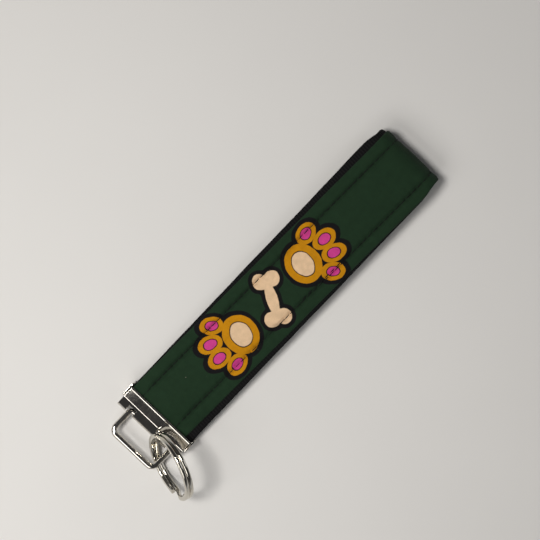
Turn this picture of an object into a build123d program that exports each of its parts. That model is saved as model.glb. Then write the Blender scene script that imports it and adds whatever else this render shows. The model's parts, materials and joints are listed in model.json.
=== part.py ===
from build123d import *
import math
import os

# Wristlet keychain: a padded webbing strap folded into a loop, its two ends held in a
# crimped metal clamp, with a wire tail loop in the clamp's fold and a split ring on the tail.
#
# Frame: X runs from the clamp (-X) to the strap's fold (+X), Y across the strap, Z up.
# The origin is on the underside of the strap, which lies on the table. Millimetres.

os.makedirs("parts", exist_ok=True)

# Strap: its length from the clamp's mouth to the fold, and its layers from the outside in
strap_reach = 139.0
apex_x = 74.0
fabric_thickness = 0.5
padding_thickness = 0.3
webbing_thickness = 2.0
webbing_width = 31.2
webbing_border = 1.65
hem_width = 1.2
fold_radius = 6.2
run_gap = 0.1

# The fabric is sewn on slightly askew: its centre line's place across the strap
fabric_shift_clamp = 1.55
fabric_shift_fold = -1.5

# Two rows of lockstitch run the length of the strap
row_inset = 5.1
thread_width = 0.45
thread_depth = 0.22
thread_recess = 0.03

# Where the strap bends when the loop is opened
lower_bend_x = -2.0
bend_gap = 2.0

# Clamp: one folded sheet with side tabs, toothed lips and a barrel for the tail loop
sheet = 0.7
clamp_depth = 9.0
plate_inset = 0.1
end_setback = 4.6
tab_clearance = 0.1
tab_start = 4.5
tab_overhang = 1.6
tooth_pitch = 3.1
tooth_height = 0.4
tooth_half_width = 0.3
lip_round = 0.3

# Tail loop: bent wire whose ends meet in the barrel
wire_radius = 1.15
barrel_clearance = 0.05
tail_reach = 10.9
tail_span = 21.7
tail_shift = -1.0
tail_corner = 2.6
tail_inner_corner = 1.6
tail_end_gap = 0.5
leg_clearance = 0.4

# Split ring: two flat coils joined by a short ramp
ring_outer_radius = 14.0
ring_band = 2.0
coil_thickness = 1.6
coil_gap = 0.05
ramp_angle = 30.0
ramp_sections = 5
ring_turn = 205.0
seat_from_fold = 4.58
table_gap = 0.04
ring_play = 0.63
ring_lean = 104.7
ring_heading = 68.4
ring_slope = 65.0

# Derived places
fabric_width = webbing_width - 2 * webbing_border
padding_width = fabric_width - 2 * hem_width
clamp_width = webbing_width - 2 * plate_inset
tooth_count = int(clamp_width / tooth_pitch) - 1
run_thickness = fabric_thickness + padding_thickness + webbing_thickness
mouth_x = apex_x - strap_reach
fold_edge_x = mouth_x - clamp_depth
end_x = fold_edge_x + end_setback
mid_z = sheet + run_thickness + run_gap / 2
top_z = 2 * mid_z
barrel_bore = wire_radius + barrel_clearance
bar_x = fold_edge_x + sheet + barrel_bore
fold_centre = (apex_x - fold_radius, fold_radius)
row_offset = fabric_width / 2 - row_inset
tab_gap = webbing_width / 2 + tab_clearance

# Bends of the loop: the clamp's mouth, the fold and one bend in each run make a
# parallelogram, so that the loop opens without stretching
mouth_bend = (mouth_x, mid_z)
fold_bend = (apex_x, fold_radius)
lower_bend = (lower_bend_x, run_thickness)
upper_bend = (mouth_bend[0] + fold_bend[0] - lower_bend[0], mouth_bend[1] + fold_bend[1] - lower_bend[1])

# The upper run's outer face leaves the clamp's lip and meets the fold on a tangent
lip_z = top_z - sheet
span = math.hypot(fold_centre[0] - mouth_x, fold_centre[1] - lip_z)
upper_slope = math.atan2(fold_centre[1] - lip_z, fold_centre[0] - mouth_x) + math.asin(fold_radius / span)
lower_slope = math.atan2(sheet, lower_bend[0] - mouth_x)


def upper_z(x, depth):
    return lip_z + (x - mouth_x) * math.tan(upper_slope) - depth / math.cos(upper_slope)


def lower_z(x, depth):
    return max(lower_bend[0] - x, 0) * math.tan(lower_slope) + depth


def block_outline(x_start, x_end, height, outer, inner):
    # a straight stretch between two depths below the strap's outer face
    with BuildLine() as edge_line:
        Polyline(
            (x_start, height(x_start, outer)),
            (x_end, height(x_end, outer)),
            (x_end, height(x_end, inner)),
            (x_start, height(x_start, inner)),
            close=True,
        )
    make_face(edge_line.edges())


def upper_near(outer, inner):
    block_outline(mouth_x + bend_gap, upper_bend[0], upper_z, outer, inner)


def lower_near(outer, inner):
    block_outline(mouth_x + bend_gap, lower_bend[0], lower_z, outer, inner)


def upper_far(outer, inner):
    # straight from the upper bend to the tangent point, then round to the fold's tip
    turn = 90 + math.degrees(upper_slope)
    with BuildLine() as edge_line:
        outside = CenterArc(fold_centre, fold_radius - outer, 0, turn)
        inside = CenterArc(fold_centre, fold_radius - inner, 0, turn)
        start_outer = (upper_bend[0], upper_z(upper_bend[0], outer))
        start_inner = (upper_bend[0], upper_z(upper_bend[0], inner))
        Polyline(outside @ 1, start_outer, start_inner, inside @ 1)
        Line(outside @ 0, inside @ 0)
    make_face(edge_line.edges())


def lower_far(outer, inner):
    with BuildLine() as edge_line:
        outside = CenterArc(fold_centre, fold_radius - outer, 0, -90)
        inside = CenterArc(fold_centre, fold_radius - inner, 0, -90)
        start_outer = (lower_bend[0], outer)
        start_inner = (lower_bend[0], inner)
        Polyline(outside @ 1, start_outer, start_inner, inside @ 1)
        Line(outside @ 0, inside @ 0)
    make_face(edge_line.edges())


def clamped_ends(outer, inner):
    # both ends, one against each plate
    for side in (-1, 1):
        depth = mid_z - sheet - (outer + inner) / 2
        with Locations(((end_x + mouth_x) / 2, mid_z + side * depth)):
            Rectangle(mouth_x - end_x, inner - outer)


def plan_outline(width, offset, shift_clamp, shift_fold):
    # seen from above: a band whose centre line shifts across the strap along its length
    x_start = fold_edge_x
    x_end = apex_x
    y_start = shift_clamp + offset
    y_end = shift_fold + offset
    with BuildLine() as edge_line:
        Polyline(
            (x_start, y_start - width / 2),
            (x_end, y_end - width / 2),
            (x_end, y_end + width / 2),
            (x_start, y_start + width / 2),
            close=True,
        )
    make_face(edge_line.edges())


stretches = {
    "upper_near": upper_near,
    "upper_far": upper_far,
    "lower_far": lower_far,
    "lower_near": lower_near,
    "clamped_ends": clamped_ends,
}
tall = 3 * top_z


def strap_layer(stretch, outer, inner, width, offsets=(0,), askew=True):
    # one layer of one stretch: its side profile, cut to the bands seen from above
    shift_fold = fabric_shift_fold if askew else 0
    shift_clamp = fabric_shift_clamp if askew and "lower" not in stretch else shift_fold
    with BuildPart() as layer:
        with BuildSketch(Plane.XZ):
            stretches[stretch](outer, inner)
        extrude(amount=webbing_width, both=True)
        with BuildSketch(Plane.XY):
            for offset in offsets:
                plan_outline(width, offset, shift_clamp, shift_fold)
        extrude(amount=tall, both=True, mode=Mode.INTERSECT)
    return layer.part


needle = (thread_recess, thread_recess + thread_depth)
bobbin = (run_thickness - needle[1], run_thickness - needle[0])
padding_outer = fabric_thickness
webbing_outer = fabric_thickness + padding_thickness
rows = (-row_offset, row_offset)

for stretch in stretches:

    # fabric, grooved under each row of stitches
    with BuildPart() as fabric:
        add(strap_layer(stretch, 0, padding_outer, fabric_width))
        add(strap_layer(stretch, -thread_depth, needle[1], thread_width, rows), mode=Mode.SUBTRACT)
    fabric.part.label = "fabric_" + stretch
    export_step(fabric.part, "parts/fabric_" + stretch + ".step")

    with BuildPart() as padding:
        add(strap_layer(stretch, padding_outer, webbing_outer, padding_width))
    padding.part.label = "padding_" + stretch
    export_step(padding.part, "parts/padding_" + stretch + ".step")

    # webbing, grooved on the inside of the loop
    with BuildPart() as webbing:
        add(strap_layer(stretch, webbing_outer, run_thickness, webbing_width, askew=False))
        add(
            strap_layer(stretch, bobbin[0], run_thickness + thread_depth, thread_width, rows),
            mode=Mode.SUBTRACT,
        )
    webbing.part.label = "webbing_" + stretch
    export_step(webbing.part, "parts/webbing_" + stretch + ".step")

    with BuildPart() as needle_thread:
        add(strap_layer(stretch, *needle, thread_width, rows))
    needle_thread.part.label = "needle_thread_" + stretch
    export_step(needle_thread.part, "parts/needle_thread_" + stretch + ".step")

    with BuildPart() as bobbin_thread:
        add(strap_layer(stretch, *bobbin, thread_width, rows))
    bobbin_thread.part.label = "bobbin_thread_" + stretch
    export_step(bobbin_thread.part, "parts/bobbin_thread_" + stretch + ".step")


# Clamp: the space between the plates narrows to the barrel, and the sheet follows it
with BuildSketch(Plane.XZ) as hollow:
    with Locations((bar_x, mid_z)):
        Circle(barrel_bore)
    with Locations(((end_x + mouth_x + bend_gap) / 2, mid_z)):
        Rectangle(mouth_x + bend_gap - end_x, top_z - 2 * sheet)
    make_hull()

leg_places = [(0, tail_shift + side * tail_span / 2) for side in (-1, 1)]
slot_inner = tail_inner_corner + leg_clearance
slot_outer = wire_radius + leg_clearance
tab_length = mouth_x + tab_overhang - fold_edge_x - tab_start
tab_centre_x = fold_edge_x + tab_start + tab_length / 2

with BuildPart() as clamp:
    with BuildSketch(Plane.XZ):
        add(hollow.sketch)
        offset(amount=sheet)
    extrude(amount=clamp_width / 2, both=True)
    with BuildSketch(Plane.XZ):
        add(hollow.sketch)
    extrude(amount=clamp_width, both=True, mode=Mode.SUBTRACT)
    split(bisect_by=Plane.YZ.offset(mouth_x), keep=Keep.BOTTOM)
    # outer edges of the lips are rolled over
    lips = clamp.edges().filter_by(Axis.Y).group_by(Axis.X)[-1].sort_by(Axis.Z)
    fillet((lips[0], lips[-1]), lip_round)
    # side tabs rise from the bottom plate and guide the strap's edges
    for side in (-1, 1):
        with BuildSketch(Plane.XZ.offset(-side * tab_gap)):
            with Locations((tab_centre_x, mid_z)):
                Rectangle(tab_length, top_z)
        extrude(amount=-side * sheet)
        with BuildSketch(Plane.XY):
            foot = mouth_x - fold_edge_x - tab_start
            with Locations((mouth_x - foot / 2, side * (clamp_width / 2 + tab_gap + sheet) / 2)):
                Rectangle(foot, tab_gap + sheet - clamp_width / 2)
        extrude(amount=sheet)
    # slots in the fold for the tail's legs
    for side in (-1, 1):
        near = tail_span / 2 - slot_inner
        far = tail_span / 2 + slot_outer
        with BuildSketch(Plane.XY):
            with Locations((fold_edge_x, tail_shift + side * (near + far) / 2)):
                Rectangle(2 * (bar_x + barrel_bore - fold_edge_x), far - near)
        extrude(amount=top_z, mode=Mode.SUBTRACT)
    # teeth under each lip bite into the fabric
    for side, face in ((1, sheet), (-1, top_z - sheet)):
        with BuildSketch(Plane.YZ.offset(mouth_x - sheet)):
            for index in range(tooth_count):
                y = (index - (tooth_count - 1) / 2) * tooth_pitch
                with BuildLine() as tooth_line:
                    Polyline(
                        (y - tooth_half_width, face),
                        (y, face + side * tooth_height),
                        (y + tooth_half_width, face),
                        close=True,
                    )
                make_face(tooth_line.edges())
        extrude(amount=sheet)
clamp.part.label = "clamp"
export_step(clamp.part, "parts/clamp.step")

# The ring stands on the table and leans, and the tail's leg rests in its lower edge,
# so the ring's size and slope set how far the tail is tilted up
heading = math.radians(ring_heading)
slope = math.radians(ring_slope)
lean = math.radians(ring_lean)
seat_to_centre = ring_outer_radius - ring_band - wire_radius - ring_play
half_ring = coil_thickness + coil_gap / 2
centre_z = table_gap + ring_outer_radius * math.sin(slope) + half_ring * math.cos(slope)
seat_z = centre_z - seat_to_centre * math.sin(lean) * math.sin(slope)
seat_x = fold_edge_x - seat_from_fold
tilt = math.atan2(seat_z - mid_z, bar_x - seat_x)

# Tail loop, drawn in its own tilted plane: local x runs out from the bar
tail_plane = Plane(
    origin=(bar_x, tail_shift, mid_z),
    x_dir=(-math.cos(tilt), 0, math.sin(tilt)),
    z_dir=(math.sin(tilt), 0, math.cos(tilt)),
)
half_gap = tail_end_gap / 2
half_span = tail_span / 2
with BuildPart() as tail_loop:
    with BuildLine(tail_plane) as wire_path:
        FilletPolyline(
            (0, half_gap),
            (0, half_span),
            (tail_reach, half_span),
            (tail_reach, -half_span),
            (0, -half_span),
            (0, -half_gap),
            radius=[tail_inner_corner, tail_corner, tail_corner, tail_inner_corner],
        )
    with BuildSketch(Plane(wire_path.line @ 0, z_dir=wire_path.line % 0)):
        Circle(wire_radius)
    sweep(path=wire_path.line)
tail_loop.part.label = "tail_loop"
export_step(tail_loop.part, "parts/tail_loop.step")

# Split ring: it stands on the table, leaning over the clamp, threaded on the tail's corner
across = Vector(math.cos(heading), math.sin(heading), 0)
uphill = Vector(math.sin(heading) * math.cos(slope), -math.cos(heading) * math.cos(slope), math.sin(slope))
ring_normal = across.cross(uphill)
seat = Vector(seat_x, tail_shift - half_span, seat_z)
ring_centre = seat + (across * math.cos(lean) + uphill * math.sin(lean)) * seat_to_centre
ring_axis = Axis(ring_centre, ring_normal)
ring_middle = ring_outer_radius - ring_band / 2
coil_level = (coil_thickness + coil_gap) / 2


def radial_plane(angle):
    # a plane through the ring's axis: local x outwards, local y along the axis
    turn = math.radians(angle)
    outwards = across * math.cos(turn) + uphill * math.sin(turn)
    return Plane(origin=ring_centre, x_dir=outwards, z_dir=outwards.cross(ring_normal))


with BuildPart() as split_ring:
    for level in (-coil_level, coil_level):
        with BuildSketch(radial_plane(ring_turn + ramp_angle / 2)):
            with Locations((ring_middle, level)):
                Rectangle(ring_band, coil_thickness)
        revolve(axis=ring_axis, revolution_arc=360 - ramp_angle)
    # the ramp climbs from the end of the lower coil to the start of the upper one
    for step in range(ramp_sections):
        share = step / (ramp_sections - 1)
        rise = (1 - math.cos(math.pi * share)) / 2
        with BuildSketch(radial_plane(ring_turn + (share - 0.5) * ramp_angle)):
            with Locations((ring_middle, coil_level * (2 * rise - 1))):
                Rectangle(ring_band, coil_thickness)
    loft()
split_ring.part.label = "split_ring"
export_step(split_ring.part, "parts/split_ring.step")
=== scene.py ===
import json
import math
import random

import bmesh
import bpy
from mathutils import Matrix, Vector, noise


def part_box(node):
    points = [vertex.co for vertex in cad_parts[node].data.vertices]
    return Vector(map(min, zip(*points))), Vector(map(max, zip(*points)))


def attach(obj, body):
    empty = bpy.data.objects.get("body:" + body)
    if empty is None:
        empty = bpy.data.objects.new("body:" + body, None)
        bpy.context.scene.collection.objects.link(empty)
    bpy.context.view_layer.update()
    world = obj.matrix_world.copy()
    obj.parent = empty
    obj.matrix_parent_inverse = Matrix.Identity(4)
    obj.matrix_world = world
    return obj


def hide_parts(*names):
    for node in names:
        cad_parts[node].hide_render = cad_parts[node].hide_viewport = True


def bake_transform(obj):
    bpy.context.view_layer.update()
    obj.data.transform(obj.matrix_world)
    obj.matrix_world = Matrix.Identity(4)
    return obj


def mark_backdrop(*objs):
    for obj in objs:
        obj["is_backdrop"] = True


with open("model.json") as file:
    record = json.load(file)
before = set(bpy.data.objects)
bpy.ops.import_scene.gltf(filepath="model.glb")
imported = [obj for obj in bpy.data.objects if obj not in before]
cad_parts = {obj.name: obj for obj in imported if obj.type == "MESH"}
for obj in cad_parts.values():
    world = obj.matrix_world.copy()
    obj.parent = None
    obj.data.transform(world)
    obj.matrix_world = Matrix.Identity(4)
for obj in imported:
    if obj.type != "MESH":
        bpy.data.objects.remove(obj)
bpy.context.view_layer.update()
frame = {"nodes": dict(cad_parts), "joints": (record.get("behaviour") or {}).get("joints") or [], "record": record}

mm = 0.001
joints = {j["name"]: Vector(j["pos_m"]) for j in frame["joints"]}
scene = bpy.context.scene
print("frame loaded:", len(frame["nodes"]), "nodes")


# node helpers

def newMaterial(name):
    material = bpy.data.materials.new(name)
    material.use_nodes = True
    tree = material.node_tree
    shader = tree.nodes["Principled BSDF"]
    return material, tree, shader


def putIn(tree, socket, value):
    # a socket gets either a link or a plain value
    if isinstance(value, bpy.types.NodeSocket):
        tree.links.new(value, socket)
    elif value is not None:
        socket.default_value = value


def calc(tree, operation, first, second=None, third=None, clamp=False):
    node = tree.nodes.new("ShaderNodeMath")
    node.operation = operation
    node.use_clamp = clamp
    for socket, value in zip(node.inputs, (first, second, third)):
        putIn(tree, socket, value)
    return node.outputs[0]


def remap(tree, value, low, high, toLow=0.0, toHigh=1.0):
    node = tree.nodes.new("ShaderNodeMapRange")
    limits = (("From Min", low), ("From Max", high), ("To Min", toLow), ("To Max", toHigh))
    for name, number in (("Value", value),) + limits:
        putIn(tree, node.inputs[name], number)
    return node.outputs["Result"]


def mixColor(tree, factor, first, second, blend="MIX"):
    node = tree.nodes.new("ShaderNodeMix")
    node.data_type = "RGBA"
    node.blend_type = blend
    putIn(tree, node.inputs[0], factor)
    putIn(tree, node.inputs[6], first)
    putIn(tree, node.inputs[7], second)
    return node.outputs[2]


def noiseField(tree, vector, scale, detail=3.0, roughness=0.55, distortion=0.0):
    node = tree.nodes.new("ShaderNodeTexNoise")
    putIn(tree, node.inputs["Vector"], vector)
    node.inputs["Scale"].default_value = scale
    node.inputs["Detail"].default_value = detail
    node.inputs["Roughness"].default_value = roughness
    node.inputs["Distortion"].default_value = distortion
    return node.outputs["Fac"], node.outputs["Color"]


def placed(tree, vector, location=(0, 0, 0), rotation=(0, 0, 0), scale=(1, 1, 1), kind="POINT"):
    node = tree.nodes.new("ShaderNodeMapping")
    node.vector_type = kind
    putIn(tree, node.inputs["Vector"], vector)
    node.inputs["Location"].default_value = location
    node.inputs["Rotation"].default_value = rotation
    node.inputs["Scale"].default_value = scale
    return node.outputs[0]


def coordinates(tree, output="Object"):
    return tree.nodes.new("ShaderNodeTexCoord").outputs[output]


def strapCoordinates(tree):
    # flat millimetres on the strap: x along its length, y across it
    node = tree.nodes.new("ShaderNodeUVMap")
    node.uv_map = "flatStrap"
    return node.outputs[0]


def bumpFrom(tree, shader, height, strength, distance):
    node = tree.nodes.new("ShaderNodeBump")
    node.inputs["Strength"].default_value = strength
    node.inputs["Distance"].default_value = distance
    putIn(tree, node.inputs["Height"], height)
    tree.links.new(node.outputs[0], shader.inputs["Normal"])


def srgb(red, green, blue):
    # 0-255 display colour to the linear colour a shader wants
    def linear(value):
        value = value / 255
        return value / 12.92 if value <= 0.04045 else ((value + 0.055) / 1.055) ** 2.4
    return (linear(red), linear(green), linear(blue), 1.0)


# where the strap runs

strap = {
    "insideClamp": 4.0 * mm,
    "upperInsideClamp": 1.0 * mm,
    "topCut": 42 * mm,
    "bottomCut": 36 * mm,
    "nearCut": -34 * mm,
    "bendHalf": 13 * mm,
    "foldAbove": 2 * mm,
    "foldBelow": 3.2 * mm,
    "clampBendFrom": 9 * mm,
    "clampBendTo": 1 * mm,
}
mouthX = joints["clamp_bend"].x
endsLow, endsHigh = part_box("fabric_clamped_ends")
webLow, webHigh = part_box("webbing_clamped_ends")
foldRadius = joints["loop_open"].z
foldCentre = (joints["loop_open"].x - foldRadius, foldRadius)
lipZ = endsHigh.z
lowLipZ = endsLow.z
bendX = joints["base_bend"].x
runThickness = joints["base_bend"].z
webbingWidth = webHigh.y - webLow.y
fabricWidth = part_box("fabric_lower_far")[1].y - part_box("fabric_lower_far")[0].y
fabricShiftFold = (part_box("fabric_lower_far")[1].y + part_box("fabric_lower_far")[0].y) / 2
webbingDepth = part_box("webbing_lower_far")[0].z
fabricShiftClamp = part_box("fabric_upper_near")[1].y - fabricWidth / 2

toCentre = Vector((foldCentre[0] - mouthX, foldCentre[1] - lipZ))
upperSlope = math.atan2(toCentre.y, toCentre.x) + math.asin(foldRadius / toCentre.length)
lowerSlope = math.atan2(lowLipZ, bendX - mouthX)
upperLength = math.sqrt(toCentre.length ** 2 - foldRadius ** 2)
foldLength = foldRadius * (math.pi + upperSlope)
flatLength = foldCentre[0] - bendX
nearLength = math.hypot(bendX - mouthX, lowLipZ)
strapLength = upperLength + foldLength + flatLength + nearLength


def route(along):
    # point on the strap's outer face and the outward direction there, in the XZ plane
    if along < 0:
        return mouthX + along, lipZ, 0.0, 1.0
    if along < upperLength:
        sine, cosine = math.sin(upperSlope), math.cos(upperSlope)
        return mouthX + along * cosine, lipZ + along * sine, -sine, cosine
    along -= upperLength
    if along < foldLength:
        angle = math.pi / 2 + upperSlope - along / foldRadius
        cosine, sine = math.cos(angle), math.sin(angle)
        return foldCentre[0] + foldRadius * cosine, foldCentre[1] + foldRadius * sine, cosine, sine
    along -= foldLength
    if along < flatLength:
        return foldCentre[0] - along, 0.0, 0.0, -1.0
    along -= flatLength
    if along < nearLength:
        sine, cosine = math.sin(lowerSlope), math.cos(lowerSlope)
        return bendX - along * cosine, along * sine, -sine, -cosine
    return mouthX - (along - nearLength), lowLipZ, 0.0, -1.0


def layAlong(bm, shift=0.0):
    # flat x along, y across, z outwards becomes the folded strap
    for vert in bm.verts:
        along, across, height = vert.co
        x, z, outX, outZ = route(along)
        vert.co = (x + outX * height, across, z + outZ * height)


topCut = (strap["topCut"] - mouthX) / math.cos(upperSlope)
bottomCut = upperLength + foldLength + foldCentre[0] - strap["bottomCut"]
nearCut = upperLength + foldLength + flatLength + bendX - strap["nearCut"]
stretches = {
    "TopNear": {"from": -strap["upperInsideClamp"], "to": topCut, "nodes": ("upper_near",)},
    "Fold": {"from": topCut, "to": bottomCut, "nodes": ("upper_far",)},
    "BaseFar": {"from": bottomCut, "to": nearCut, "nodes": ("lower_far",)},
    "BaseNear": {"from": nearCut, "to": strapLength + strap["insideClamp"], "nodes": ("lower_near",)},
}


def joinBodies(piece, stretch):
    # each stretch crosses one bend of the loop
    if stretch == "TopNear":
        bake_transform(piece)
    elif stretch == "Fold":
        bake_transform(piece)
    elif stretch == "BaseFar":
        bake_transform(piece)
    else:
        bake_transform(piece)


def smoothStep(low, high, value):
    share = min(max((value - low) / (high - low), 0.0), 1.0)
    return share * share * (3 - 2 * share)


# the printed fabric: its shape

fabric = {
    "step": 0.36 * mm,
    "columns": 96,
    "edgeRound": 0.7 * mm,
    "rowInset": 5.05 * mm,
    "stitch": 2.95 * mm,
    "puff": 0.95 * mm,
    "groove": 0.62 * mm,
    "dimple": 0.3 * mm,
    "hem": 0.3 * mm,
    "flangePuff": 0.3 * mm,
    "wrinkle": 0.26 * mm,
    "drawnIn": 0.9 * mm,
    "leavesClamp": 8 * mm,
}
fabricBottom = -webbingDepth + 0.02 * mm
stitchPhase = {1: 0.13, -1: 0.5}  # where the middle of a stitch falls, as a share of the pitch


def onTop(along):
    # 1 on the upper run, 0 on the lower run, which lies on the table
    return 1 - smoothStep(upperLength + 0.15 * foldLength, upperLength + 0.8 * foldLength, along)


def centreLine(along):
    share = min(max(along / upperLength, 0), 1)
    return fabricShiftClamp + (fabricShiftFold - fabricShiftClamp) * share


def edgeCurl(along):
    # at the fold the edges roll inwards and the strap narrows
    return smoothStep(upperLength - 5 * mm, upperLength + 4 * mm, along) * (
        1 - smoothStep(upperLength + foldLength - 3 * mm, upperLength + foldLength + 7 * mm, along)
    )


def edgePlace(along, side):
    # the fabric's edge, from the fabric's own centre line
    return side * (fabricWidth / 2 - (fabric["drawnIn"] * edgeCurl(along) if side < 0 else 0))


def rowPlace(along, side):
    # the stitch rows wander a little and the -Y one runs out towards the edge
    half = fabricWidth / 2 - fabric["rowInset"]
    wander = 0.18 * mm * noise.noise(Vector((along * 45, side * 3.0, 0.5)))
    if side > 0:
        return half + wander
    return -half + 0.35 * mm - 0.75 * mm * smoothStep(0.02, 0.1, along) * onTop(along) + wander


def surfaceHeight(along, across):
    # height of the fabric's face above the strap's nominal outer face
    top = onTop(along)
    free = smoothStep(0.4 * mm, fabric["leavesClamp"], along)
    upper, lower = rowPlace(along, 1), rowPlace(along, -1)
    edge = abs(edgePlace(along, 1 if across > 0 else -1))
    height = 0.0
    if lower < across < upper:
        share = (2 * across - upper - lower) / (upper - lower)
        height += fabric["puff"] * max(1 - share * share, 0) ** 0.7
    else:
        row = upper if across >= upper else lower
        share = min(abs(across - row) / (edge - abs(row)), 1.0)
        height += fabric["hem"] * smoothStep(0, 0.12, share)
        height += fabric["flangePuff"] * math.sin(math.pi * share)
    for side, row in ((1, upper), (-1, lower)):
        away = (across - row) / mm
        fromHole = abs((along / fabric["stitch"] - stitchPhase[side]) % 1 - 0.5) * 2
        hole = math.exp(-((fromHole * fabric["stitch"] / (2 * 0.45 * mm)) ** 2) - (away / 0.6) ** 2)
        height -= fabric["groove"] * math.exp(-(away / 0.85) ** 2) + fabric["dimple"] * hole
        # little gathers that the thread pulls up across the row
        gather = noise.noise(Vector((along * 420, side * 7.3, away * 0.12)))
        height += fabric["wrinkle"] * gather * math.exp(-abs(away) / 2.2)
    height += 0.14 * mm * noise.noise(Vector((along * 90, across * 120, 3.1)))
    # tight round the fold, and pressed between the plates
    height *= 1 - 0.65 * smoothStep(upperLength - 4 * mm, upperLength + 6 * mm, along)
    height = free * height - (1 - free) * 0.03 * mm
    fromEdge = edge - abs(across)
    if fromEdge < fabric["edgeRound"]:
        share = 1 - fromEdge / fabric["edgeRound"]
        height -= 0.55 * mm * (1 - math.sqrt(max(1 - share * share, 0)))
    # underneath, the table presses the strap flat
    pressed = min(height * 0.35 - 0.3 * mm, -0.02 * mm)
    return height * top + pressed * (1 - top)


def edgeWander(along, side):
    # the hem is not cut dead straight
    return 0.16 * mm * noise.noise(Vector((along * 60, side * 11.0, 8.8)))


def gridPiece(start, stop, width, step, columns):
    # a flat closed slab: a grid of faces and a copy of it above
    bm = bmesh.new()
    rows = max(int((stop - start) / step), 4)
    bmesh.ops.create_grid(bm, x_segments=rows, y_segments=columns, size=1.0)
    bmesh.ops.scale(bm, vec=((stop - start) / 2, width / 2, 1), verts=bm.verts)
    bmesh.ops.translate(bm, vec=((start + stop) / 2, 0, 0), verts=bm.verts)
    below = list(bm.faces)
    lifted = bmesh.ops.extrude_face_region(bm, geom=below, use_keep_orig=True)
    above = [item for item in lifted["geom"] if isinstance(item, bmesh.types.BMVert)]
    for face in below:
        face.normal_flip()
    return bm, above


def writeStrapUv(bm):
    # taken while the piece is still flat
    layer = bm.loops.layers.uv.new("flatStrap")
    for face in bm.faces:
        for loop in face.loops:
            loop[layer].uv = (loop.vert.co.x / mm, loop.vert.co.y / mm)
    return layer


def finishPiece(name, bm, material, sharpAngle=50):
    mesh = bpy.data.meshes.new(name)
    bm.to_mesh(mesh)
    bm.free()
    mesh.polygons.foreach_set("use_smooth", [True] * len(mesh.polygons))
    mesh.set_sharp_from_angle(angle=math.radians(sharpAngle))
    mesh.materials.append(material)
    piece = bpy.data.objects.new(name, mesh)
    scene.collection.objects.link(piece)
    return piece


def makeFabric(stretch, place, material):
    bm, above = gridPiece(place["from"], place["to"], fabricWidth, fabric["step"], fabric["columns"])
    top = set(above)
    writeStrapUv(bm)
    for vert in bm.verts:
        along, across, _ = vert.co
        side = 1 if across > 0 else -1
        out = abs(across) / (fabricWidth / 2)
        across *= abs(edgePlace(along, side)) / (fabricWidth / 2)
        shifted = across + centreLine(along) + edgeWander(along, side) * out ** 8
        height = surfaceHeight(along, across) if vert in top else fabricBottom
        if vert not in top:
            shifted -= side * 0.25 * mm * out ** 20
        vert.co = (along, shifted, height)
    layAlong(bm)
    piece = finishPiece("fabric" + stretch, bm, material)
    return piece


# the print

palette = {
    "green": srgb(25, 46, 28),
    "mustard": srgb(188, 127, 6),
    "cream": srgb(219, 187, 151),
    "pink": srgb(196, 62, 134),
    "ink": srgb(14, 13, 15),
}
motif = {
    "outline": 1.5,
    "line": 0.3,
    "paws": ((40.5, -0.5, 78), (82.5, 0.5, -100)),
    "palm": (0, -3.0, 8.0, 6.8, 0),
    "toes": (
        (-8.9, 4.4, 3.5, 4.7, 24),
        (-3.2, 8.8, 3.5, 5.0, 8),
        (3.2, 8.8, 3.5, 5.0, -8),
        (8.9, 4.4, 3.5, 4.7, -24),
    ),
    "palmPad": (0, -3.2, 5.2, 4.0, 0),
    "toePad": 0.55,
    "bone": (61.5, 0, 62),
    "shaft": (0, 0, 6.0, 2.2, 0),
    "knobs": tuple((x, y, 3.1, 2.9, 0) for x in (-7.6, 7.6) for y in (2.4, -2.4)),
}


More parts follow.
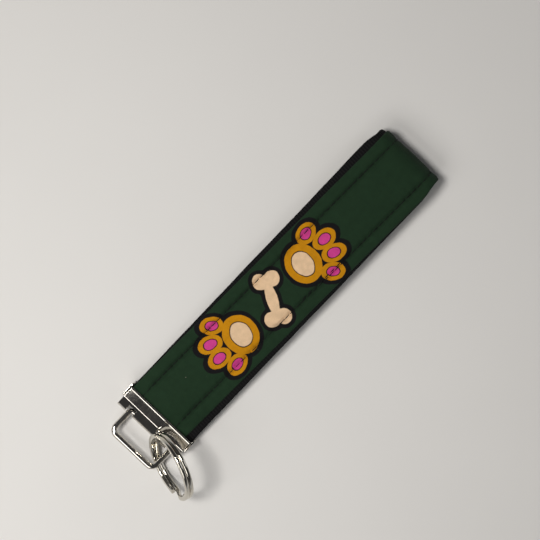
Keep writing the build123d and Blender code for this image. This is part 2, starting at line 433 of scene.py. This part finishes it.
def printedFabric():
    material, tree, shader = newMaterial("printedCotton")
    flat = strapCoordinates(tree)
    wobble = noiseField(tree, flat, 0.22, 2.0)[1]
    centred = tree.nodes.new("ShaderNodeVectorMath")
    centred.operation = "SUBTRACT"
    tree.links.new(wobble, centred.inputs[0])
    centred.inputs[1].default_value = (0.5, 0.5, 0.5)
    bent = tree.nodes.new("ShaderNodeVectorMath")
    bent.operation = "MULTIPLY_ADD"
    tree.links.new(centred.outputs[0], bent.inputs[0])
    bent.inputs[1].default_value = (0.8, 0.8, 0)
    tree.links.new(flat, bent.inputs[2])
    drawn = bent.outputs[0]

    def oval(x, y, radiusX, radiusY, turn):
        # about the distance in millimetres outside an oval, negative inside
        inside = placed(tree, drawn, (x, y, 0), (0, 0, math.radians(turn)), (radiusX, radiusY, 1), "TEXTURE")
        length = tree.nodes.new("ShaderNodeVectorMath")
        length.operation = "LENGTH"
        tree.links.new(inside, length.inputs[0])
        least = min(radiusX, radiusY)
        return calc(tree, "MULTIPLY_ADD", length.outputs["Value"], least, -least)

    def union(shapes, soft=0.0):
        result = shapes[0]
        for shape in shapes[1:]:
            if soft:
                result = calc(tree, "SMOOTH_MIN", result, shape, soft)
            else:
                result = calc(tree, "MINIMUM", result, shape)
        return result

    def filled(distance, grow=0.0):
        return remap(tree, distance, grow + 0.09, grow - 0.09)

    def edgeLine(distance, width):
        return filled(calc(tree, "ABSOLUTE", distance), width / 2)

    def onMotif(shape, centre):
        # an oval given in a motif's own frame, turned and moved to its place on the strap
        turn = math.radians(centre[2])
        x = centre[0] + shape[0] * math.cos(turn) - shape[1] * math.sin(turn)
        y = centre[1] + shape[0] * math.sin(turn) + shape[1] * math.cos(turn)
        return oval(x, y, shape[2], shape[3], shape[4] + centre[2])

    def shrunk(shape, share):
        return (shape[0], shape[1], shape[2] * share, shape[3] * share, shape[4])

    color = palette["green"]
    for centre in motif["paws"]:
        paw = union([onMotif(shape, centre) for shape in (motif["palm"],) + motif["toes"]])
        toePads = union([onMotif(shrunk(toe, motif["toePad"]), centre) for toe in motif["toes"]])
        palmPad = onMotif(motif["palmPad"], centre)
        color = mixColor(tree, filled(paw, motif["outline"]), color, palette["ink"])
        color = mixColor(tree, filled(paw), color, palette["mustard"])
        color = mixColor(tree, filled(toePads), color, palette["pink"])
        color = mixColor(tree, filled(palmPad), color, palette["cream"])
        color = mixColor(tree, edgeLine(union([toePads, palmPad]), motif["line"]), color, palette["ink"])
    bone = union([onMotif(shape, motif["bone"]) for shape in (motif["shaft"],) + motif["knobs"]], 1.0)
    color = mixColor(tree, filled(bone, motif["outline"]), color, palette["ink"])
    color = mixColor(tree, filled(bone), color, palette["cream"])

    # ink lies a little unevenly on the cotton, and the plain weave shows through it
    uneven = remap(tree, noiseField(tree, flat, 0.35, 4.0, 0.6)[0], 0.3, 0.7, 0.88, 1.08)
    warp = tree.nodes.new("ShaderNodeTexWave")
    warp.bands_direction = "X"
    weft = tree.nodes.new("ShaderNodeTexWave")
    weft.bands_direction = "Y"
    fray = noiseField(tree, flat, 1.6, 2.0)[0]
    for band in (warp, weft):
        tree.links.new(flat, band.inputs["Vector"])
        band.inputs["Scale"].default_value = 0.92
        band.inputs["Distortion"].default_value = 0.5
        band.inputs["Detail"].default_value = 1.0
    warpShade = calc(tree, "MULTIPLY", warp.outputs["Fac"], calc(tree, "MULTIPLY_ADD", fray, 0.5, 0.7))
    weftShade = calc(tree, "MULTIPLY", weft.outputs["Fac"], 0.85)
    weave = calc(tree, "MAXIMUM", warpShade, weftShade)
    shade = calc(tree, "MULTIPLY", uneven, calc(tree, "MULTIPLY_ADD", weave, 0.22, 0.82))
    color = mixColor(tree, 1.0, color, shade, "MULTIPLY")
    lint = tree.nodes.new("ShaderNodeTexVoronoi")
    tree.links.new(placed(tree, flat, rotation=(0, 0, 0.4)), lint.inputs["Vector"])
    lint.inputs["Scale"].default_value = 0.13
    chosen = tree.nodes.new("ShaderNodeSeparateColor")
    tree.links.new(lint.outputs["Color"], chosen.inputs[0])
    near = remap(tree, lint.outputs["Distance"], 0.032, 0.02)
    specks = calc(tree, "MULTIPLY", near, remap(tree, chosen.outputs[0], 0.6, 0.62))
    color = mixColor(tree, calc(tree, "MULTIPLY", specks, 0.6), color, srgb(150, 142, 130))
    putIn(tree, shader.inputs["Base Color"], color)
    shader.inputs["Roughness"].default_value = 0.86
    shader.inputs["Specular IOR Level"].default_value = 0.14
    shader.inputs["Sheen Weight"].default_value = 0.03
    shader.inputs["Sheen Roughness"].default_value = 0.5
    fuzz = noiseField(tree, flat, 5.0, 3.0, 0.7)[0]
    bumpFrom(tree, shader, calc(tree, "MULTIPLY_ADD", fuzz, 0.35, weave), 0.55, 0.00008)
    return material


# webbing

webbing = {"step": 0.3 * mm, "corner": 0.75 * mm, "rib": 1.15 * mm, "ribHeight": 0.05 * mm, "columns": 30}


def webbingMaterial():
    material, tree, shader = newMaterial("blackWebbing")
    flat = strapCoordinates(tree)
    ribs = tree.nodes.new("ShaderNodeTexWave")
    ribs.bands_direction = "X"
    tree.links.new(flat, ribs.inputs["Vector"])
    ribs.inputs["Scale"].default_value = 0.3142 / (webbing["rib"] / mm)
    ribs.inputs["Distortion"].default_value = 0.6
    ribs.inputs["Detail"].default_value = 1.0
    ends = tree.nodes.new("ShaderNodeTexWave")
    ends.bands_direction = "DIAGONAL"
    tree.links.new(placed(tree, flat, scale=(1.0, 1.6, 1.0)), ends.inputs["Vector"])
    ends.inputs["Scale"].default_value = 0.42
    ends.inputs["Distortion"].default_value = 1.2
    lint = noiseField(tree, flat, 3.2, 4.0, 0.7)[0]
    height = calc(tree, "MULTIPLY_ADD", ends.outputs["Fac"], 0.35, ribs.outputs["Fac"])
    # painted highlight: the raised ribs are coloured lighter than the hollows, broken up by random lint noise
    ribHighlightAndLint = remap(tree, calc(tree, "MULTIPLY", height, lint), 0.15, 0.75)
    putIn(tree, shader.inputs["Base Color"], mixColor(tree, ribHighlightAndLint, srgb(5, 5, 6), srgb(24, 23, 24)))
    shader.inputs["Roughness"].default_value = 0.8
    shader.inputs["Specular IOR Level"].default_value = 0.12
    shader.inputs["Sheen Weight"].default_value = 0.03
    shader.inputs["Sheen Roughness"].default_value = 0.4
    bumpFrom(tree, shader, calc(tree, "MULTIPLY_ADD", lint, 0.3, height), 0.7, 0.00012)
    return material


def makeWebbing(stretch, place, material):
    bm = bmesh.new()
    thick = runThickness - webbingDepth
    length = place["to"] - place["from"]
    bmesh.ops.create_cube(bm, size=1.0)
    bmesh.ops.scale(bm, vec=(length, webbingWidth, thick), verts=bm.verts)
    middle = ((place["from"] + place["to"]) / 2, 0, -webbingDepth - thick / 2)
    bmesh.ops.translate(bm, vec=middle, verts=bm.verts)
    longEdges = [e for e in bm.edges if abs(e.verts[0].co.x - e.verts[1].co.x) > length / 2]
    corner = webbing["corner"]
    bmesh.ops.bevel(bm, geom=longEdges, offset=corner, segments=5, profile=0.5, affect="EDGES", material=-1)
    acrossEdges = [e for e in bm.edges if abs(e.verts[0].co.y - e.verts[1].co.y) > webbingWidth / 2]
    bmesh.ops.subdivide_edges(bm, edges=acrossEdges, cuts=webbing["columns"], use_grid_fill=True)
    longEdges = [e for e in bm.edges if abs(e.verts[0].co.x - e.verts[1].co.x) > length / 2]
    bmesh.ops.subdivide_edges(bm, edges=longEdges, cuts=int(length / webbing["step"]), use_grid_fill=True)
    writeStrapUv(bm)
    for vert in bm.verts:
        along, across, height = vert.co
        rib = math.sin(2 * math.pi * along / webbing["rib"])
        outward = 1 if height > -webbingDepth - thick / 2 else -1
        ends = min(abs(along - place["from"]), abs(along - place["to"]))
        # ribs fade at a cut so that neighbouring pieces meet
        height += outward * webbing["ribHeight"] * rib * min(ends / mm, 1)
        side = math.copysign(1, across)
        out = abs(across) / (webbingWidth / 2)
        curl = edgeCurl(along)
        across -= side * curl * 0.9 * mm * out ** 4
        across += side * 0.12 * mm * noise.noise(Vector((along * 70, side * 5.0, 2.2))) * out ** 6
        height -= curl * 0.7 * mm * out ** 8
        vert.co = (along, across, height)
    layAlong(bm)
    return finishPiece("webbing" + stretch, bm, material, 60)


# stitches

stitches = {"radius": 0.155 * mm, "length": 2.72 * mm, "doubledFrom": 68 * mm, "doubledTo": 88 * mm}


def threadMaterial():
    material, tree, shader = newMaterial("blackThread")
    place = coordinates(tree)
    twist = tree.nodes.new("ShaderNodeTexWave")
    twist.bands_direction = "DIAGONAL"
    tree.links.new(place, twist.inputs["Vector"])
    twist.inputs["Scale"].default_value = 900
    twist.inputs["Distortion"].default_value = 1.5
    fuzz = noiseField(tree, place, 2500, 3.0)[0]
    tone = calc(tree, "MULTIPLY", twist.outputs["Fac"], fuzz)
    putIn(tree, shader.inputs["Base Color"], mixColor(tree, tone, srgb(5, 5, 6), srgb(20, 19, 21)))
    shader.inputs["Roughness"].default_value = 0.7
    shader.inputs["Specular IOR Level"].default_value = 0.2
    bumpFrom(tree, shader, twist.outputs["Fac"], 0.6, 0.00005)
    return material


def addStitch(bm, along, across, height, lean, rise):
    # one stitch: a grain whose ends dive into the cloth
    made = bmesh.ops.create_uvsphere(bm, u_segments=8, v_segments=6, radius=1.0)
    verts = made["verts"]
    bmesh.ops.rotate(bm, verts=verts, cent=(0, 0, 0), matrix=Matrix.Rotation(math.pi / 2, 3, "Y"))
    bmesh.ops.scale(bm, vec=(stitches["length"] / 2, stitches["radius"], stitches["radius"]), verts=verts)
    for vert in verts:
        share = vert.co.x / (stitches["length"] / 2)
        vert.co.z += rise * (0.5 - 1.3 * share * share)
        vert.co.y += lean * share
    bmesh.ops.translate(bm, vec=(along, across, height), verts=verts)


def makeStitches(stretch, place, material, inner):
    bm = bmesh.new()
    random.seed(11 if inner else 5)
    count = int(strapLength / fabric["stitch"])
    for side in (1, -1):
        for index in range(count):
            along = (index + stitchPhase[side]) * fabric["stitch"]
            lean, lift = random.uniform(-0.06, 0.06) * mm, random.uniform(-0.03, 0.03) * mm
            if not place["from"] + 1.3 * mm <= along < place["to"] + 1.3 * mm or along > strapLength:
                continue
            row = rowPlace(along, side)
            doubled = side < 0 and stitches["doubledFrom"] < along < stitches["doubledTo"]
            for offset in (0, 0.62 * mm) if doubled and not inner else (0,):
                slip = 0.4 * fabric["stitch"] if offset else 0
                if inner:
                    height = -runThickness - 0.02 * mm
                    rise = -0.14 * mm
                else:
                    height = surfaceHeight(along + slip, row + offset) + 0.1 * mm
                    rise = 0.2 * mm
                    if onTop(along) < 0.5:
                        height = min(height, -0.32 * mm)
                addStitch(bm, along + slip, row + offset + centreLine(along), height + lift * 0.5, lean, rise)
    writeStrapUv(bm)
    layAlong(bm)
    return finishPiece(("bobbinStitches" if inner else "needleStitches") + stretch, bm, material, 80)


# polished metal

def polishedNickel(name, tint, scratchScale):
    material, tree, shader = newMaterial(name)
    place = coordinates(tree)
    smudge = noiseField(tree, place, 160, 4.0, 0.6)[0]
    brushed = placed(tree, place, rotation=(0.3, 0.2, 0.6), scale=scratchScale)
    scratch = noiseField(tree, brushed, 500, 2.0, 0.7)[0]
    fine = remap(tree, scratch, 0.45, 0.75)
    wear = calc(tree, "MULTIPLY_ADD", fine, 0.05, remap(tree, smudge, 0.3, 0.75, 0.03, 0.08))
    putIn(tree, shader.inputs["Roughness"], wear)
    dark = tuple(channel * 0.92 for channel in tint[:3]) + (1.0,)
    putIn(tree, shader.inputs["Base Color"], mixColor(tree, remap(tree, smudge, 0.35, 0.7), dark, tint))
    shader.inputs["Metallic"].default_value = 1.0
    bumpFrom(tree, shader, scratch, 0.02, 0.00001)
    return material


def growStraight(bm, chain, step):
    grown = bmesh.ops.extrude_edge_only(bm, edges=chain)["geom"]
    bmesh.ops.translate(bm, vec=step, verts=[g for g in grown if isinstance(g, bmesh.types.BMVert)])
    return [g for g in grown if isinstance(g, bmesh.types.BMEdge)]


def growTurn(bm, chain, centre, axis, angle, steps, climb=Vector((0, 0, 0))):
    ends = list({v for e in chain for v in e.verts})
    made = bmesh.ops.spin(
        bm, geom=ends + chain, cent=centre, axis=axis, dvec=climb / steps, angle=angle, steps=steps,
        use_merge=False,
    )
    return [g for g in made["geom_last"] if isinstance(g, bmesh.types.BMEdge)]


def lineAcross(bm, places):
    # a chain of edges through these points, to grow a sheet from
    verts = [bm.verts.new(place) for place in places]
    return [bm.edges.new(pair) for pair in zip(verts, verts[1:])]


def thicken(bm, faces, thickness):
    bmesh.ops.solidify(bm, geom=faces, thickness=thickness)
    bmesh.ops.recalc_face_normals(bm, faces=bm.faces)


def soften(bm, edges, width, segments):
    bmesh.ops.bevel(bm, geom=edges, offset=width, segments=segments, profile=0.5, affect="EDGES", material=-1)


def sharpEdges(bm, degrees=60):
    return [e for e in bm.edges if len(e.link_faces) == 2 and e.calc_face_angle() > math.radians(degrees)]


clamp = {
    "sheet": 0.7 * mm,
    "edge": 0.13 * mm,
    "lip": 0.3 * mm,
    "beadWidth": 1.15 * mm,
    "beadRise": 0.34 * mm,
    "slotInner": 2.0 * mm,
    "slotOuter": 0.4 * mm,
    "bore": 1.2 * mm,
    "plateInset": 0.1 * mm,
    "tabCorner": 0.7 * mm,
    "toothPitch": 3.1 * mm,
    "toothHeight": 0.4 * mm,
}


def makeClamp(material):
    low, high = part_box("clamp")
    bar = joints["tail_swing"]
    sheetThick = clamp["sheet"]
    halfPlate = webbingWidth / 2 - clamp["plateInset"]
    tailLow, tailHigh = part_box("tail_loop")
    wire = joints["tail_swing"].x - low.x - sheetThick - (clamp["bore"] - tail["wire"])
    legAt = (tailHigh.y - tailLow.y) / 2 - wire
    stations = [-halfPlate, halfPlate]
    slots = []
    for side in (-1, 1):
        edges = sorted(
            (bar.y + side * (legAt - clamp["slotInner"]), bar.y + side * (legAt + wire + clamp["slotOuter"]))
        )
        slots.append(edges)
        stations += edges

    # the folded sheet, grown from the upper lip round the barrel to the lower lip
    bm = bmesh.new()
    chain = lineAcross(bm, [(mouthX, y, high.z) for y in sorted(stations)])
    barrel = bar.x - low.x
    shoulder = Vector((webLow.x, high.z - sheetThick))
    toShoulder = shoulder - Vector((bar.x, bar.z))
    lean = math.atan2(toShoulder.y, toShoulder.x) + math.acos((barrel - sheetThick) / toShoulder.length)
    turn = lean - math.pi / 2
    slopeLength = math.sqrt(toShoulder.length ** 2 - (barrel - sheetThick) ** 2)
    downSlope = Vector((-math.sin(lean), 0, math.cos(lean))) * slopeLength
    backSlope = Vector((-downSlope.x, 0, downSlope.z))
    back = Vector((0, -1, 0))
    chain = growStraight(bm, chain, Vector((webLow.x - mouthX, 0, 0)))
    chain = growTurn(bm, chain, (shoulder.x, 0, shoulder.y), back, turn, 5)
    chain = growStraight(bm, chain, downSlope)
    chain = growTurn(bm, chain, (bar.x, 0, bar.z), back, 2 * (math.pi - lean), 16)
    chain = growStraight(bm, chain, backSlope)
    chain = growTurn(bm, chain, (shoulder.x, 0, sheetThick), back, turn, 5)
    growStraight(bm, chain, Vector((mouthX - webLow.x, 0, 0)))
    bmesh.ops.remove_doubles(bm, verts=bm.verts, dist=0.001 * mm)
    geom = bm.verts[:] + bm.edges[:] + bm.faces[:]
    slotEnd = bar.x + clamp["bore"]
    bmesh.ops.bisect_plane(bm, geom=geom, plane_co=(slotEnd, 0, 0), plane_no=(1, 0, 0), dist=0.001 * mm)
    opened = []
    for face in bm.faces:
        middle = face.calc_center_median()
        if middle.x < slotEnd and any(near < middle.y < far for near, far in slots):
            opened.append(face)
    bmesh.ops.delete(bm, geom=opened, context="FACES")
    bmesh.ops.recalc_face_normals(bm, faces=bm.faces)
    if max(bm.faces, key=lambda face: face.calc_center_median().z).normal.z < 0:
        bmesh.ops.reverse_faces(bm, faces=bm.faces)
    thicken(bm, bm.faces[:], sheetThick)
    lips = []
    for edge in sharpEdges(bm):
        ends = [v.co for v in edge.verts]
        outer = all(abs(co.z - high.z) < 0.01 * mm or abs(co.z) < 0.01 * mm for co in ends)
        if outer and all(abs(co.x - mouthX) < 0.01 * mm for co in ends):
            lips.append(edge)
    soften(bm, lips, clamp["lip"], 6)
    soften(bm, sharpEdges(bm), clamp["edge"], 3)

    # side tabs, bent up from the lower plate
    for side in (-1, 1):
        tab = bmesh.new()
        outer = side * high.y
        places = [(x, side * (halfPlate - 0.1 * mm), 0) for x in (webLow.x - 0.1 * mm, mouthX, high.x)]
        chain = lineAcross(tab, places)
        bend = sheetThick + 0.1 * mm
        chain = growStraight(tab, chain, Vector((0, outer - side * bend - places[0][1], 0)))
        chain = growTurn(tab, chain, (0, outer - side * bend, bend), Vector((side, 0, 0)), math.pi / 2, 6)
        chain = growStraight(tab, chain, Vector((0, 0, high.z - bend)))
        foot = [f for f in tab.faces if f.calc_center_median().x > mouthX and abs(f.normal.z) > 0.99]
        bmesh.ops.delete(tab, geom=foot, context="FACES")
        corners = [v for v in tab.verts if abs(v.co.z - high.z) < 0.01 * mm and len(v.link_edges) == 2]
        bmesh.ops.bevel(
            tab, geom=corners, offset=clamp["tabCorner"], segments=5, profile=0.5, affect="VERTICES",
            material=-1,
        )
        bmesh.ops.recalc_face_normals(tab, faces=tab.faces)
        outermost = max(tab.faces, key=lambda face: abs(face.calc_center_median().y))
        if outermost.normal.y * side < 0:
            bmesh.ops.reverse_faces(tab, faces=tab.faces)
        thicken(tab, tab.faces[:], sheetThick)
        soften(tab, sharpEdges(tab), clamp["edge"], 3)
        holder = bpy.data.meshes.new("tab")
        tab.to_mesh(holder)
        tab.free()
        bm.from_mesh(holder)
        bpy.data.meshes.remove(holder)

    # the lips are rolled into a low bead along the mouth
    for face, way in ((high.z, 1), (0, -1)):
        bead = bmesh.ops.create_cone(
            bm, cap_ends=True, segments=40, radius1=clamp["beadWidth"] / 2, radius2=clamp["beadWidth"] / 2,
            depth=2 * halfPlate - 0.3 * mm,
        )["verts"]
        bmesh.ops.rotate(bm, verts=bead, cent=(0, 0, 0), matrix=Matrix.Rotation(math.pi / 2, 3, "X"))
        rise = clamp["beadRise"] if way > 0 else 0.02 * mm
        bmesh.ops.scale(bm, vec=(1, 1, 2 * rise / clamp["beadWidth"]), verts=bead)
        place = (mouthX - clamp["beadWidth"] / 2 + 0.08 * mm, 0, face - way * 0.01 * mm)
        bmesh.ops.translate(bm, vec=place, verts=bead)

    # teeth under both lips
    count = int(2 * halfPlate / clamp["toothPitch"]) - 1
    for index in range(count):
        for face, way in ((sheetThick, 1), (high.z - sheetThick, -1)):
            tooth = bmesh.ops.create_cone(
                bm, cap_ends=True, segments=4, radius1=clamp["toothHeight"], radius2=0.02 * mm,
                depth=clamp["toothHeight"],
            )["verts"]
            if way < 0:
                bmesh.ops.rotate(bm, verts=tooth, cent=(0, 0, 0), matrix=Matrix.Rotation(math.pi, 3, "X"))
            y = (index - (count - 1) / 2) * clamp["toothPitch"]
            place = (mouthX - 0.5 * sheetThick, y, face + way * (clamp["toothHeight"] / 2 - 0.03 * mm))
            bmesh.ops.translate(bm, vec=place, verts=tooth)
    piece = finishPiece("clampShell", bm, material, 35)
    normals = piece.modifiers.new("flatFaces", "WEIGHTED_NORMAL")
    normals.keep_sharp = True
    return piece


def closeWire(bm):
    bmesh.ops.holes_fill(bm, edges=[e for e in bm.edges if len(e.link_faces) == 1], sides=0)
    bmesh.ops.recalc_face_normals(bm, faces=bm.faces)


ring = {"band": 2.0 * mm, "coil": 1.6 * mm, "gap": 0.06 * mm, "ramp": 30, "rampAt": 205, "steps": 110}


def makeRing(material):
    record = {m["name"]: m for m in frame["record"]["mounts"]}["key_ring"]
    centre, axis = Vector(record["pos_m"]), Vector(record["axis"]).normalized()
    low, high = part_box("split_ring")
    across = Vector((-axis.y, axis.x, 0)).normalized()
    uphill = axis.cross(across)
    outer = ((high.z - low.z) / 2 - (ring["coil"] + ring["gap"] / 2) * abs(axis.z)) / uphill.z
    middle = abs(outer) - ring["band"] / 2
    turn = math.radians(ring["rampAt"] + ring["ramp"] / 2)
    outwards = across * math.cos(turn) + uphill * math.sin(turn)
    level = (ring["coil"] + ring["gap"]) / 2
    bm = bmesh.new()
    section = bmesh.ops.create_circle(bm, cap_ends=False, segments=24, radius=1.0)["verts"]
    for vert in section:
        # a wire drawn nearly flat, with soft corners
        x, y = vert.co.x, vert.co.y
        swell = (abs(x) ** 3.4 + abs(y) ** 3.4) ** (-1 / 3.4)
        radial, axial = x * swell * ring["band"] / 2, y * swell * ring["coil"] / 2
        vert.co = centre + outwards * (middle + radial) + axis * (axial - level)
    loop = list(bm.edges)
    flat = math.radians(360 - ring["ramp"])
    loop = growTurn(bm, loop, centre, axis, flat, ring["steps"])
    steps = 12
    for index in range(steps):
        share = (math.cos(math.pi * index / steps) - math.cos(math.pi * (index + 1) / steps)) / 2
        climb = axis * (2 * level * share)
        loop = growTurn(bm, loop, centre, axis, math.radians(ring["ramp"]) / steps, 1, climb)
    growTurn(bm, loop, centre, axis, flat, ring["steps"])
    closeWire(bm)
    return finishPiece("splitRingCoil", bm, material, 55)


tail = {"wire": 1.15 * mm, "corner": 2.6 * mm, "innerCorner": 1.6 * mm, "endGap": 0.25 * mm}


def makeTail(material):
    low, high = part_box("tail_loop")
    bar = joints["tail_swing"]
    halfSpan = (high.y - low.y) / 2 - tail["wire"]
    seat = joints["ring_swing"]
    tilt = math.atan2(seat.z - bar.z, bar.x - seat.x)
    out = Vector((-math.cos(tilt), 0, math.sin(tilt)))
    side = Vector((0, 1, 0))
    normal = out.cross(side)
    reach = (bar.x - low.x - tail["wire"]) / math.cos(tilt)
    bm = bmesh.new()
    section = bmesh.ops.create_circle(bm, cap_ends=False, segments=28, radius=tail["wire"])["verts"]
    for vert in section:
        vert.co = bar + side * tail["endGap"] + out * vert.co.x + normal * vert.co.y
    loop = list(bm.edges)
    inner, corner = tail["innerCorner"], tail["corner"]
    loop = growStraight(bm, loop, side * (halfSpan - inner - tail["endGap"]))
    loop = growTurn(bm, loop, bar + side * (halfSpan - inner) + out * inner, normal, -math.pi / 2, 12)
    loop = growStraight(bm, loop, out * (reach - inner - corner))
    firstCorner = bar + side * (halfSpan - corner) + out * (reach - corner)
    loop = growTurn(bm, loop, firstCorner, normal, -math.pi / 2, 16)
    loop = growStraight(bm, loop, side * (2 * corner - 2 * halfSpan))
    secondCorner = bar - side * (halfSpan - corner) + out * (reach - corner)
    loop = growTurn(bm, loop, secondCorner, normal, -math.pi / 2, 16)
    loop = growStraight(bm, loop, -out * (reach - inner - corner))
    loop = growTurn(bm, loop, bar - side * (halfSpan - inner) + out * inner, normal, -math.pi / 2, 12)
    growStraight(bm, loop, side * (halfSpan - inner - tail["endGap"]))
    closeWire(bm)
    return finishPiece("tailWire", bm, material, 55)


# build

fabricMaterial = printedFabric()
webMaterial = webbingMaterial()
threadFinish = threadMaterial()
print("soft materials made")

for stretch, place in stretches.items():
    ends = [suffix for suffix in place["nodes"]]
    if stretch == "BaseNear":
        ends.append("clamped_ends")
    cloth = makeFabric(stretch, place, fabricMaterial)
    joinBodies(cloth, stretch)
    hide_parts(*["fabric_" + end for end in ends], *["padding_" + end for end in ends])
    web = makeWebbing(stretch, place, webMaterial)
    joinBodies(web, stretch)
    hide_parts(*["webbing_" + end for end in ends])
    for inner, node in ((False, "needle_thread_"), (True, "bobbin_thread_")):
        rows = makeStitches(stretch, place, threadFinish, inner)
        joinBodies(rows, stretch)
        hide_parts(*[node + end for end in ends])

nickel = polishedNickel("polishedNickel", srgb(208, 203, 194), (1.0, 6.0, 1.0))
wireNickel = polishedNickel("wireNickel", srgb(214, 209, 200), (4.0, 1.0, 1.0))
ringNickel = polishedNickel("ringNickel", srgb(206, 201, 190), (1.0, 1.0, 5.0))
clampPiece = makeClamp(nickel)
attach(clampPiece, "clamp_body")
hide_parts("clamp")
tailPiece = makeTail(wireNickel)
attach(tailPiece, "tail")
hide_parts("tail_loop")
ringPiece = makeRing(ringNickel)
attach(ringPiece, "ring")
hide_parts("split_ring")
print("metal parts made")


# table, light and camera

studio = {
    "cameraHeight": 0.482,
    "cameraOver": (0.0039, 0.0082),
    "cameraTurn": -46.4,
    "lens": 82.6,
    "sun": (-0.70, 0.71),
    "sunRise": 69,
    "floor": srgb(212, 210, 207),
}


def makeFloor():
    bm = bmesh.new()
    bmesh.ops.create_grid(bm, x_segments=2, y_segments=2, size=1.5)
    material, tree, shader = newMaterial("paleTable")
    place = coordinates(tree)
    tone = remap(tree, noiseField(tree, place, 9, 3.0)[0], 0.3, 0.7, 0.97, 1.0)
    putIn(tree, shader.inputs["Base Color"], mixColor(tree, 1.0, studio["floor"], tone, "MULTIPLY"))
    shader.inputs["Roughness"].default_value = 0.7
    floor = finishPiece("table", bm, material)
    floor.data.transform(Matrix.Translation((0, 0, -0.00002)))
    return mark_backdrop(floor)


def areaLight(name, direction, rise, distance, size, power, color):
    lamp = bpy.data.lights.new(name, "AREA")
    lamp.shape = "ELLIPSE" if size[0] == size[1] else "RECTANGLE"
    lamp.size, lamp.size_y = size
    lamp.energy = power
    lamp.color = color
    lift = math.radians(rise)
    flat = Vector((direction[0], direction[1], 0)).normalized() * math.cos(lift)
    place = (flat + Vector((0, 0, math.sin(lift)))) * distance
    holder = bpy.data.objects.new(name, lamp)
    holder.location = place
    holder.rotation_euler = place.to_track_quat("Z", "Y").to_euler()
    scene.collection.objects.link(holder)


def makeCamera():
    lens = bpy.data.cameras.new("camera")
    lens.lens = studio["lens"]
    lens.sensor_width = 36
    holder = bpy.data.objects.new("camera", lens)
    holder.location = (*studio["cameraOver"], studio["cameraHeight"])
    holder.rotation_euler = (0, 0, math.radians(studio["cameraTurn"]))
    scene.collection.objects.link(holder)
    scene.camera = holder


makeFloor()
areaLight("keyLight", studio["sun"], studio["sunRise"], 0.6, (0.18, 0.18), 2.4, (1.0, 0.98, 0.95))
areaLight("stripLight", (-1, 0), 46, 0.7, (0.55, 0.3), 2.0, (1.0, 0.985, 0.96))
areaLight("fillLight", (1, -0.6), 35, 1.1, (0.5, 0.5), 0.6, (0.95, 0.97, 1.0))


def makeWorld():
    # a pale room under a dark ceiling, which polished metal needs to look like metal
    world = bpy.data.worlds.new("studio")
    world.use_nodes = True
    tree = world.node_tree
    parts = tree.nodes.new("ShaderNodeSeparateXYZ")
    tree.links.new(coordinates(tree, "Generated"), parts.inputs[0])
    high = remap(tree, parts.outputs["Z"], 0.0, 0.34)
    color = mixColor(tree, high, (0.7, 0.71, 0.73, 1), (0.05, 0.05, 0.052, 1))
    tree.links.new(color, tree.nodes["Background"].inputs[0])
    scene.world = world


makeWorld()
scene.view_settings.view_transform = "Standard"
makeCamera()
print("table, lights and camera set")
